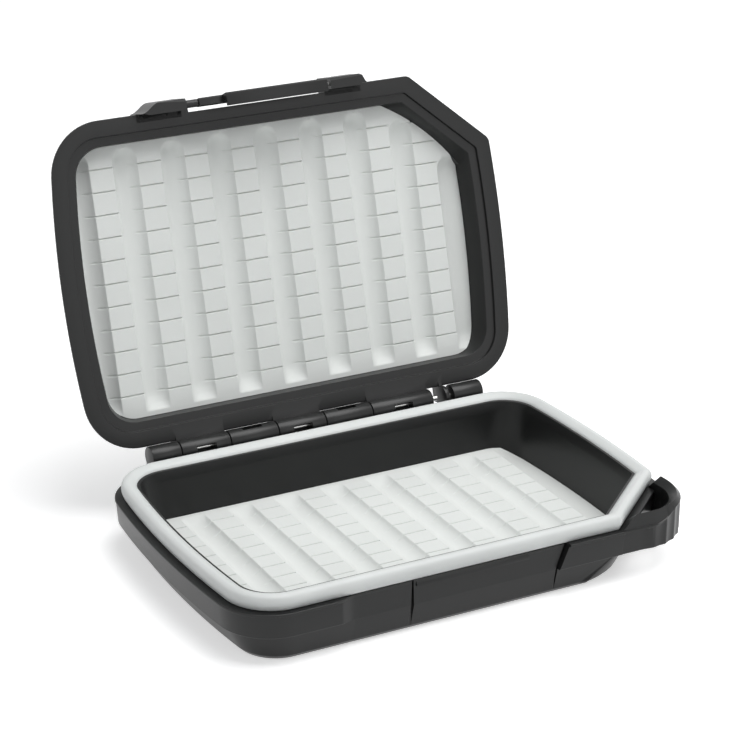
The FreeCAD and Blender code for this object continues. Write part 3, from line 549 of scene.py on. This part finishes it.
# each row: inset, level above the ledge, rounding
gasket_line = ((GASKET_BORE, GASKET_FOOT, 0), (2.05, GASKET_FOOT, 0.3), (1.3, 1.9, 0.7), (1.3, 3.1, 0.6),
               (1.75, 4.15, 0.5), (2.7, GASKET_HEIGHT, 0.4), (3.4, GASKET_HEIGHT, 0.35), (4.7, 4.05, 0.5),
               (GASKET_BORE, 3.25, 0))
gasket_rows = eased([(inset, inset, CORNER - inset, INNER_VERTEX, 0, LEDGE + level, rounding)
                     for inset, level, rounding in gasket_line])
gasket_stations = spread(FRONT_LEFT, FRONT_RIGHT, 40)
gasket_mesh = loft([[(x, y, row[5]) for x, y in plan(*row[:4], gasket_stations)] for row in gasket_rows],
                   capped=False)


def rubber():
    """White silicone: matt, slightly see-through at its edges, with dust-fine unevenness."""
    made = plastic("gasket_white", (0.68, 0.70, 0.69), 0.5, 0.12)
    shader = made.node_tree.nodes["Principled BSDF"]
    shader.inputs["Subsurface Weight"].default_value = 0.25
    shader.inputs["Subsurface Radius"].default_value = (1.0, 0.95, 0.9)
    shader.inputs["Subsurface Scale"].default_value = 0.001
    return made


finished(gasket_mesh, "gasket_ring", "base", rubber(), ["gasket"], sharp=60)

# Foam liners: sheets of white closed-cell foam glued to both floors. Round-ended channels are pressed
# between the strips, and each strip is slit across so that a hook can be pushed in and held.
PITCH = 15.03
FIRST_CHANNEL = -61.33
CHANNELS = 9
LAST_CHANNEL = FIRST_CHANNEL + (CHANNELS - 1) * PITCH
CHANNEL_HALF = 3.9
FRONT_END, CUT_END, BACK_END = 9.0, 11.4, HALF_DEPTH - 9.2
RAMP, RAMP_POWER = 6.0, 2.2
EDGE_ROUND, EDGE_SHARE = 0.7, 0.35
SLIT_FIRST = HALF_DEPTH - 14.68
SLIT_PITCH = 6.65
SLITS = 11
# a slit's section: distance from its middle, and depth
SLIT_LINE = ((0.0, 0.7), (0.13, 0.38), (0.3, 0.0))
SLIT_STEPS = (0.0, 0.13, 0.3, 0.6)
SLIT_OVER, SLIT_PAST, FLANK_SHARE = 2.2, 0.3, 0.45
PLAIN_END = 3.6
STRIP_STEPS = (0.15, 3.6, 7.0)
FOAM_REACH, FOAM_SPAN = 66.5, 42.0
FOAM_GAP = 0.1
LEAST_FOAM = 0.3
BELOW, ABOVE = 5.0, 2.0
BASE_CHANNEL = 1.9


def channel_sink(x, y, depth):
    """How far the foam's face lies below its strips: a round trough with a round front end and a flat ramp
    at the hinge end. The last trough has no far side."""
    scoop = (CHANNEL_HALF ** 2 + depth ** 2) / (2 * depth)
    sunk = 0.0
    for index in range(CHANNELS):
        centre = FIRST_CHANNEL + index * PITCH
        aside = x - centre
        if index == CHANNELS - 1:
            aside = min(aside, 0.0)
        if abs(aside) > CHANNEL_HALF:
            continue
        past = centre - CUT_A.x - CUT_IN.x * CUT_END
        on_cut = CUT_A.y + CUT_IN.y * CUT_END + past * CUT_WAY.y / CUT_WAY.x
        round_end = max(FRONT_END - HALF_DEPTH, on_cut) + CHANNEL_HALF
        away = math.hypot(aside, max(round_end - y, 0.0))
        if away > CHANNEL_HALF or y > BACK_END:
            continue
        here = math.sqrt(scoop ** 2 - away ** 2) - (scoop - depth)
        here *= smooth_step(EDGE_SHARE + (CHANNEL_HALF - away) / EDGE_ROUND)
        left = max(1 - (BACK_END - y) / RAMP, 0.0)
        sunk = max(sunk, here * (1 - left ** RAMP_POWER))
    return sunk


def slit_sink(x, y, slits):
    """How deep a slit is at a point: a V across each strip that runs on down the flank on its left,
    shallower there. Beyond the last trough there are none."""
    centre = FIRST_CHANNEL + round((x - FIRST_CHANNEL) / PITCH) * PITCH
    in_trough = SLIT_PAST - CHANNEL_HALF < x - centre < CHANNEL_HALF - SLIT_OVER
    if in_trough or x > LAST_CHANNEL - PLAIN_END:
        return 0.0
    away = min(abs(y - slit) for slit in slits)
    share = FLANK_SHARE if abs(x - centre) < CHANNEL_HALF else 1.0
    for (near, deep), (far, shallow) in zip(SLIT_LINE, SLIT_LINE[1:]):
        if away <= far:
            return share * (deep + (shallow - deep) * (away - near) / (far - near))
    return 0.0


def foam_liner(floor, thickness, depth):
    """A slab with its channels and slits, cut to the tray's plan, with its face upwards. The grid is
    close where the face turns and open where it is flat, and reaches past the plan on all sides."""
    columns = [-FOAM_REACH, FOAM_REACH]
    for index in range(CHANNELS):
        centre = FIRST_CHANNEL + index * PITCH
        columns += [centre + CHANNEL_HALF * math.sin(a) for a in spread(-QUARTER, QUARTER, 19)]
        columns += [centre + CHANNEL_HALF + step for step in STRIP_STEPS]
    columns = sorted(columns)
    slits = [SLIT_FIRST - index * SLIT_PITCH for index in range(SLITS)]
    rows = [y + side * step for y in slits for side in (-1, 1) for step in SLIT_STEPS]
    rows += [y + SLIT_PITCH * share for y in slits for share in (0.25, 0.5, 0.75)]
    rows += spread(BACK_END - RAMP, BACK_END, 7) + [BACK_END + 0.02, -FOAM_SPAN, FOAM_SPAN]
    rows += spread(FRONT_END - HALF_DEPTH, FRONT_END + CHANNEL_HALF - HALF_DEPTH, 7)
    rows = sorted(set(round(y, 3) for y in rows))
    bm = bmesh.new()
    bmesh.ops.create_grid(bm, x_segments=len(columns) - 1, y_segments=len(rows) - 1, size=1)
    face = floor + thickness
    for vert in bm.verts:
        x = columns[round((vert.co.x + 1) / 2 * (len(columns) - 1))]
        y = rows[round((vert.co.y + 1) / 2 * (len(rows) - 1))]
        sunk = channel_sink(x, y, depth) + slit_sink(x, y, slits)
        vert.co = (x, y, face - min(sunk, thickness - LEAST_FOAM))
    made = bmesh.ops.extrude_face_region(bm, geom=bm.faces[:])["geom"]
    for vert in made:
        if isinstance(vert, bmesh.types.BMVert):
            vert.co.z = floor - BELOW
    bmesh.ops.recalc_face_normals(bm, faces=bm.faces)
    edge = (WALL_SIDES + FOAM_GAP, WALL_ENDS + FOAM_GAP, CORNER - WALL_TOP - FOAM_GAP, INNER_VERTEX)
    outline = plan(*edge, spread(FRONT_LEFT, FRONT_RIGHT, 30), CUT_BOW)
    cutter = loft([[(x, y, z) for x, y in outline] for z in (floor, face + ABOVE)])
    return joined(blank(bm), cutter, "INTERSECT")


def foam_white():
    """Closed-cell foam: soft white with pin-prick cells and a dull, slightly powdery face."""
    made = bpy.data.materials.new("foam_white")
    made.use_nodes = True
    nodes, links = made.node_tree.nodes, made.node_tree.links
    shader = nodes["Principled BSDF"]
    where = nodes.new("ShaderNodeTexCoord")
    cloud = nodes.new("ShaderNodeTexNoise")
    cloud.inputs["Scale"].default_value = 60
    cloud.inputs["Detail"].default_value = 5
    tone = nodes.new("ShaderNodeValToRGB")
    tone.color_ramp.elements[0].color = (0.735, 0.755, 0.735, 1)
    tone.color_ramp.elements[1].color = (0.795, 0.815, 0.795, 1)
    cells = nodes.new("ShaderNodeTexVoronoi")
    cells.inputs["Scale"].default_value = 2600
    relief = nodes.new("ShaderNodeBump")
    relief.inputs["Strength"].default_value = 0.18
    relief.inputs["Distance"].default_value = 0.00008
    for texture in (cloud, cells):
        links.new(where.outputs["Object"], texture.inputs["Vector"])
    links.new(cloud.outputs["Fac"], tone.inputs["Fac"])
    links.new(tone.outputs["Color"], shader.inputs["Base Color"])
    links.new(cells.outputs["Distance"], relief.inputs["Height"])
    links.new(relief.outputs["Normal"], shader.inputs["Normal"])
    shader.inputs["Roughness"].default_value = 0.85
    shader.inputs["Specular IOR Level"].default_value = 0.3
    return made


foam_material = foam_white()
base_foam_mesh = foam_liner(BASE_FLOOR + GLUE, BASE_FOAM, BASE_CHANNEL)
base_foam = finished(base_foam_mesh, "base_foam_liner", "base", foam_material, ["base_foam"],
                     sharp=50)

# Lid shell: the same plan as the base, modelled shut and swung back on the hinge to its rest.
# Its rim meets the gasket, and its front carries two lugs that hold the latch's pin.
GASKET_GAP = 0.15
LID_HEIGHT, LID_SKIN, LID_FOAM, LID_CHANNEL = 11.0, 1.6, 4.2, 2.4
RIM = LEDGE + GASKET_HEIGHT + GASKET_GAP
LID_TOP = RIM + LID_HEIGHT
CEILING = LID_TOP - LID_SKIN
LID_LIP = 0.8
LID_OVERHANG = 0.4
LID_WEB = 4.2
RIM_FLAT, RIM_STEP, RIM_DEEP, RIM_SIDE = 4.8, 7.5, 0.9, 0.15
OPEN = math.radians(-106.09)
open_turn = (Matrix.Translation((0, AXIS_Y, AXIS_Z)) @ Matrix.Rotation(OPEN, 4, "X")
             @ Matrix.Translation((0, -AXIS_Y, -AXIS_Z)))
SLOT_LEFT, SLOT_RIGHT = -26.6, 17.8
SLOT_DEPTH, SLOT_SIDE, SLOT_ROUND = 1.33, 0.05, 0.45
SLOT_END, SLOT_ROUND_END = LID_TOP - 2, RIM + 1
lid_places = [(x, 0.0) for x in spread(FRONT_LEFT, -27.5, 20)]
lid_places += [(SLOT_LEFT - SLOT_SIDE, 0.0), (SLOT_LEFT + SLOT_SIDE, SLOT_DEPTH)]
lid_places += [(x, SLOT_DEPTH) for x in spread(-26, 17.2, 24)]
lid_places += [(SLOT_RIGHT - SLOT_SIDE, SLOT_DEPTH), (SLOT_RIGHT + SLOT_SIDE, 0.0)]
lid_places += [(x, 0.0) for x in spread(19, FRONT_RIGHT, 10)]
# the rows are as the base's
lid_profile = eased([
    (DRAFT_SIDES + LOWER_EDGE, DRAFT_FRONT + LOWER_EDGE, *lower_corner, LID_TOP, 0),
    (DRAFT_SIDES + LOWER_EDGE, DRAFT_FRONT + LOWER_EDGE, *lower_corner, LID_TOP - HAIRLINE, 0),
    (DRAFT_SIDES, DRAFT_FRONT, LOWER_CORNER, LOWER_VERTEX, 0, LID_TOP - LOWER_EDGE, 0.5),
    (LID_OVERHANG, LID_OVERHANG, CORNER - LID_OVERHANG, VERTEX, 0, RIM + LID_LIP, 0),
    (0, 0, CORNER, VERTEX, 0, RIM + LID_LIP, 0.15),
    (0, 0, CORNER, VERTEX, 0, RIM, 0.22),
    (RIM_FLAT, RIM_FLAT, CORNER - LIP_OUT, INNER_VERTEX, 0, RIM, 0.12),
    (RIM_FLAT + RIM_SIDE, RIM_FLAT + RIM_SIDE, CORNER - LIP_OUT, INNER_VERTEX, 0, RIM + RIM_DEEP, 0.12),
    (RIM_STEP, RIM_STEP, CORNER - RIM_STEP, INNER_VERTEX, 0, RIM + RIM_DEEP, 0.15),
    (WALL_SIDES, WALL_ENDS, CORNER - WALL_TOP, INNER_VERTEX, CUT_BOW, CEILING - GLUE - LID_FOAM, 0),
    (WALL_SIDES, WALL_ENDS, CORNER - WALL_TOP, INNER_VERTEX, CUT_BOW, CEILING, 0),
])


def lid_ring(row):
    """One level of the lid, with the latch's slot pressed into its front."""
    sides, ends, corner, vertex, bow, z = row
    points = plan(sides, ends, corner, vertex, [x for x, _ in lid_places], bow)
    depths = [deep for _, deep in lid_places] if z < SLOT_END else []
    rounding = min(ends, SLOT_ROUND) if z < SLOT_ROUND_END else 0
    return pressed(points, depths, rounding, z)


lid_mesh = loft([lid_ring(row) for row in lid_profile])
lid_mesh = add_hinge(lid_mesh, "lid", (RIM - AXIS_Z, RIM + LID_WEB - AXIS_Z, 165, 405), DISC, -1)

# the lugs, with a small boss beside the left one and a bore through both for the latch's pin
PIN_OUT, PIN_DROP, PIN_BORE = 1.07, 3.4, 0.65
PIN_ENDS = (-33.3, 22.3)
# each lug: its left end, its right end, and how far a ramp runs on beyond either
LUGS = ((-37.3, -28.8, 5.6, 0), (17.8, 28.0, 0, 1.8))
LATCH_Y, LATCH_Z = -HALF_DEPTH - PIN_OUT, RIM - PIN_DROP
LUG_FACE, LUG_CLEAR, LUG_ROOT = -HALF_DEPTH - 2.87, -HALF_DEPTH - 0.15, -HALF_DEPTH + 2.4
LUG_LOW, LUG_HIGH, LUG_LAP = RIM - 5.0, RIM + 4.2, 0.5
LUG_WALL, LUG_BEVEL = LATCH_Y + 1.5, 0.9
# the shares of a ramp between which the back of the lower block slopes out
THIN_FROM, THIN_TO = 0.6, 0.85
BOSS_LEFT, BOSS_RIGHT, BOSS_RADIUS = -29.3, -25.1, 1.15


def upright(line, low, high):
    """A block over a closed line of (x, y) points, from one level to another."""
    bm = bmesh.new()
    face = bm.faces.new([bm.verts.new((x, y, low)) for x, y in line])
    made = bmesh.ops.extrude_face_region(bm, geom=[face])["geom"]
    raised = [g for g in made if isinstance(g, bmesh.types.BMVert)]
    bmesh.ops.translate(bm, vec=(0, 0, high - low), verts=raised)
    bmesh.ops.recalc_face_normals(bm, faces=bm.faces)
    return bm


def lug(x_left, x_right, ramp_left, ramp_right):
    """A latch lug: a block on the lid's front band that hangs past the rim, with a flat facet along its
    lower front edge and an S-shaped ramp at its free end."""
    proud = LUG_FACE - LUG_CLEAR
    rise = [(x_left - ramp_left * (1 - t), LUG_CLEAR + proud * smooth_step(t)) for t in spread(0, 1, 9)]
    fall = [(x_right + ramp_right * t, LUG_FACE - proud * smooth_step(t)) for t in spread(0, 1, 5)]
    crest = rise if ramp_left else [(x_left, LUG_FACE)]
    crest += fall if ramp_right else [(x_right, LUG_FACE)]
    line = [(x_left - ramp_left, LUG_ROOT)] + crest + [(x_right + ramp_right, LUG_ROOT)]
    upper = upright(line, RIM, LUG_HIGH)
    # behind the ramp's thin end the lower block steps out, to stay clear of the base
    line = crest + [(x_right, LUG_CLEAR), (x_right, LUG_WALL), (x_left - ramp_left * THIN_FROM, LUG_WALL),
                    (x_left - ramp_left * THIN_TO, LUG_CLEAR)]
    lower = upright(line, LUG_LOW, RIM + LUG_LAP)
    edge = [e for e in lower.edges
            if all(abs(v.co.z - LUG_LOW) + abs(v.co.y - LUG_FACE) < NEAR for v in e.verts)]
    bmesh.ops.bevel(lower, geom=edge, offset=LUG_BEVEL, affect="EDGES", segments=1, profile=0.5, material=-1)
    return joined(blank(upper), blank(lower), "UNION")


for lug_sizes in LUGS:
    lid_mesh = joined(lid_mesh, lug(*lug_sizes), "UNION")
boss_mesh = rod(BOSS_LEFT, BOSS_RIGHT, LATCH_Y, LATCH_Z, BOSS_RADIUS, segments=24)
lid_mesh = joined(lid_mesh, boss_mesh, "UNION")
lid_mesh = joined(lid_mesh, rod(*PIN_ENDS, LATCH_Y, LATCH_Z, PIN_BORE), "DIFFERENCE")
lid_mesh.transform(open_turn)
finished(lid_mesh, "lid_cover", "lid", shell_black, ["lid_shell"])

# Lid liner: the same white foam in a thicker sheet, glued under the lid's ceiling, so that its face
# is down when the box is shut. It is made face up, mirrored and swung back with the lid.
lid_foam_mesh = foam_liner(0, LID_FOAM, LID_CHANNEL)
lid_foam_mesh.transform(Matrix.Translation((0, 0, CEILING - GLUE)) @ Matrix.Diagonal((1, 1, -1, 1)))
lid_foam_mesh.flip_normals()
lid_foam_mesh.transform(open_turn)
lid_foam = finished(lid_foam_mesh, "lid_foam_liner", "lid", foam_material, ["lid_foam"], sharp=50)

# Latch: a bar that swings on a steel pin between the lugs, with a hook that snaps under the catch.
# It is shown let go, tipped away from its closed place. Its sizes are measured from the pin's axis.
FLAP_HALF, FLAP_TOP, FLAP_DROP, FLAP_EDGE = 1.15, 1.3, 1.6, 0.5
BAR_ENDS, HOOK_ENDS, FLAP_BORE = (-24.9, 16.1), (-17.4, 15.5), (-30, 30)
BAR_BEVEL, HOOK_BEVEL = 0.25, 0.2
CATCH_PROUD = 0.5
HOOK_BACK, HOOK_THICK, HOOK_BITE, HOOK_CLEAR = 0.85, 1.1, 0.33, 0.15
HOOK_TOP = LATCH_Z - LEDGE + CATCH_DROP + CATCH_HEIGHT + HOOK_CLEAR
HOOK_LOW = HOOK_TOP + HOOK_THICK
HOOK_TIP = PIN_OUT + RECESS_DEPTH - CATCH_PROUD + HOOK_BITE
LET_GO = math.radians(-12)
bar_line = [(-FLAP_HALF, FLAP_EDGE - FLAP_DROP), (FLAP_EDGE - FLAP_HALF, -FLAP_DROP),
            (FLAP_HALF, -FLAP_DROP), (FLAP_HALF, FLAP_TOP - FLAP_EDGE), (FLAP_HALF - FLAP_EDGE, FLAP_TOP),
            (FLAP_EDGE - FLAP_HALF, FLAP_TOP), (-FLAP_HALF, FLAP_TOP - FLAP_EDGE)]
hook_line = [(-FLAP_HALF, FLAP_EDGE - FLAP_DROP), (-FLAP_HALF, FLAP_EDGE - HOOK_LOW),
             (FLAP_EDGE - FLAP_HALF, -HOOK_LOW), (HOOK_BACK, -HOOK_LOW), (HOOK_TIP, FLAP_EDGE - HOOK_LOW),
             (HOOK_TIP, -HOOK_TOP), (HOOK_BACK, -HOOK_TOP), (HOOK_BACK, FLAP_EDGE - FLAP_DROP)]
flap_mesh = joined(slab(bar_line, *BAR_ENDS, BAR_BEVEL), slab(hook_line, *HOOK_ENDS, HOOK_BEVEL),
                   "UNION")
flap_mesh = joined(flap_mesh, rod(*FLAP_BORE, 0, 0, PIN_BORE), "DIFFERENCE")
flap_mesh.transform(open_turn @ Matrix.Translation((0, LATCH_Y, LATCH_Z)) @ Matrix.Rotation(LET_GO, 4, "X"))
finished(flap_mesh, "latch_bar", "latch", shell_black, ["latch_flap"])

# Lanyard loop: a wall moulded on with the base that runs on from the front, turns round the cut-off
# corner and comes back to the side, with upright thumb grooves at its outer turn.
LOOP_WALL, LOOP_LOW, LOOP_HIGH = 3.4, BAND_FOOT, LEDGE + 4.05
LOOP_START = 43.6
LOOP_RADIUS = 15.5
LOOP_X = HALF_LENGTH - 0.6 - LOOP_RADIUS
LOOP_Y = -HALF_DEPTH + LOOP_RADIUS
STEP_START, STEP_RUN, STEP_POWER = 43.9, 7.0, 1.4
SIDE_RUN = 3.6
LOOP_SLOPE, LOOP_BACK, LOOP_LEAN, LOOP_EDGE = 1.4, 0.55, 0.65, 0.3
LOOP_SINK, FACE_SHY, BROW_SHY = 0.05, 0.02, 0.03
FLUSH_START, FLUSH_RUN = 52.0, 6.0
TURN_START, TURN_RUN = 57.0, 9.0
BROW_DROP, BROW_TOP = 0.25, 1.1
# levels round the brow, how much of a thumb groove its foot and its edge keep, and the inner edge
BROW_START, BROW_FOOT, BROW_RISE = 0.65, 0.4, 0.15
GROOVE_FOOT, GROOVE_EDGE = 0.8, 0.5
INNER_EDGE = 0.2
FLUTES, FLUTE_STEPS, FLUTE_DEPTH = 6, 12, 0.35


def loop_stations():
    """Places along the outer face: point, outward way, and how deep the thumb groove is there."""
    made = [((x, -HALF_DEPTH), (0, -1), 0.0) for x in spread(LOOP_START, LOOP_X, 40)]
    for index, a in enumerate(spread(-QUARTER, 0, FLUTES * FLUTE_STEPS + 1)[1:], start=1):
        hollow = FLUTE_DEPTH * math.sin(math.pi * (index % FLUTE_STEPS) / FLUTE_STEPS)
        made.append(((LOOP_X + LOOP_RADIUS * math.cos(a), LOOP_Y + LOOP_RADIUS * math.sin(a)),
                     (math.cos(a), math.sin(a)), hollow))
    start_x, start_y = made[-1][0]
    for t in spread(0, 1, 10)[1:]:
        point = (start_x + (CUT_B.x - start_x) * t, start_y + (CUT_B.y - start_y) * t)
        made.append((point, (1, 0), 0.0))
    return made


def loop_share(point):
    """Share of the loop's full height at a point: an S up from the ledge in front, down again at the side."""
    x, y = point
    climb = min(max((x - STEP_START) / STEP_RUN, 0.0), 1.0) ** STEP_POWER
    return min(smooth_step(climb), smooth_step((CUT_B.y - y) / SIDE_RUN))


loop_rings = []
for point, way, hollow in loop_stations():
    high = loop_share(point)
    top = LEDGE - LOOP_SINK + (LOOP_HIGH - LEDGE) * high
    inner_top = top - LOOP_SLOPE * high
    face = FACE_SHY + BAND_FACE * (1 - smooth_step((point[0] - FLUSH_START) / FLUSH_RUN)) + hollow
    turned = smooth_step((point[0] - TURN_START) / TURN_RUN)
    brow = LEDGE - BROW_DROP + max(top - LEDGE - BROW_TOP, 0.0) * turned
    fold = LOOP_BACK * (1 - turned) + LOOP_SINK
    # the wall's section, from its outer foot up over the brow and the sloping top to its inner foot
    section = [(face + LOOP_EDGE, LOOP_LOW), (face, LOOP_LOW + LOOP_EDGE), (face, brow - BROW_START),
               (BROW_SHY + hollow * GROOVE_FOOT, brow - BROW_FOOT),
               (BROW_SHY + hollow * GROOVE_EDGE, brow), (fold, brow + BROW_RISE),
               (LOOP_BACK + LOOP_LEAN * high, top), (LOOP_WALL - INNER_EDGE, inner_top),
               (LOOP_WALL, inner_top - LOOP_EDGE), (LOOP_WALL, LOOP_LOW + LOOP_EDGE),
               (LOOP_WALL - LOOP_EDGE, LOOP_LOW)]
    ring = []
    for offset, z in section:
        at = Vector(point) - Vector(way) * offset
        ring.append((at.x, at.y, z))
    loop_rings.append(ring)
finished(loft(loop_rings), "lanyard_wall", "base", shell_black, ["lanyard_loop"])


# Pins: three lengths of drawn stainless steel rod, two pressed into the hinge's end knuckles and one
# into the latch's lugs. They show between the pieces that they carry and in the moulding windows.
def drawn_steel():
    """Bright steel with fine lines along the rod that vary in tone and polish."""
    made = bpy.data.materials.new("pin_steel")
    made.use_nodes = True
    nodes, links = made.node_tree.nodes, made.node_tree.links
    shader = nodes["Principled BSDF"]
    shader.inputs["Metallic"].default_value = 1.0
    where = nodes.new("ShaderNodeTexCoord")
    along = nodes.new("ShaderNodeMapping")
    along.inputs["Scale"].default_value = (60, 5200, 5200)
    lines = nodes.new("ShaderNodeTexNoise")
    lines.inputs["Scale"].default_value = 1.0
    lines.inputs["Detail"].default_value = 3
    tone = nodes.new("ShaderNodeValToRGB")
    tone.color_ramp.elements[0].color = (0.52, 0.52, 0.51, 1)
    tone.color_ramp.elements[1].color = (0.70, 0.70, 0.69, 1)
    satin = nodes.new("ShaderNodeMapRange")
    satin.inputs["To Min"].default_value = 0.22
    satin.inputs["To Max"].default_value = 0.38
    links.new(where.outputs["Object"], along.inputs["Vector"])
    links.new(along.outputs["Vector"], lines.inputs["Vector"])
    links.new(lines.outputs["Fac"], tone.inputs["Fac"])
    links.new(lines.outputs["Fac"], satin.inputs["Value"])
    links.new(tone.outputs["Color"], shader.inputs["Base Color"])
    links.new(satin.outputs["Result"], shader.inputs["Roughness"])
    return made


def dress(nodes, finish):
    """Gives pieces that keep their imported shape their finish."""
    for node in nodes:
        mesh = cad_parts[node].data
        mesh.materials.clear()
        mesh.materials.append(finish)


dress(("hinge_pin_long", "hinge_pin_short", "latch_pin"), drawn_steel())

# Adhesive films: a thin layer of clear-drying glue between each floor and its foam, laid on before the
# foam is pressed down. Only an edge of it is ever seen.
dress(("base_foam_adhesive", "lid_foam_adhesive"), plastic("glue_film", (0.62, 0.60, 0.52), 0.30, 0.05))
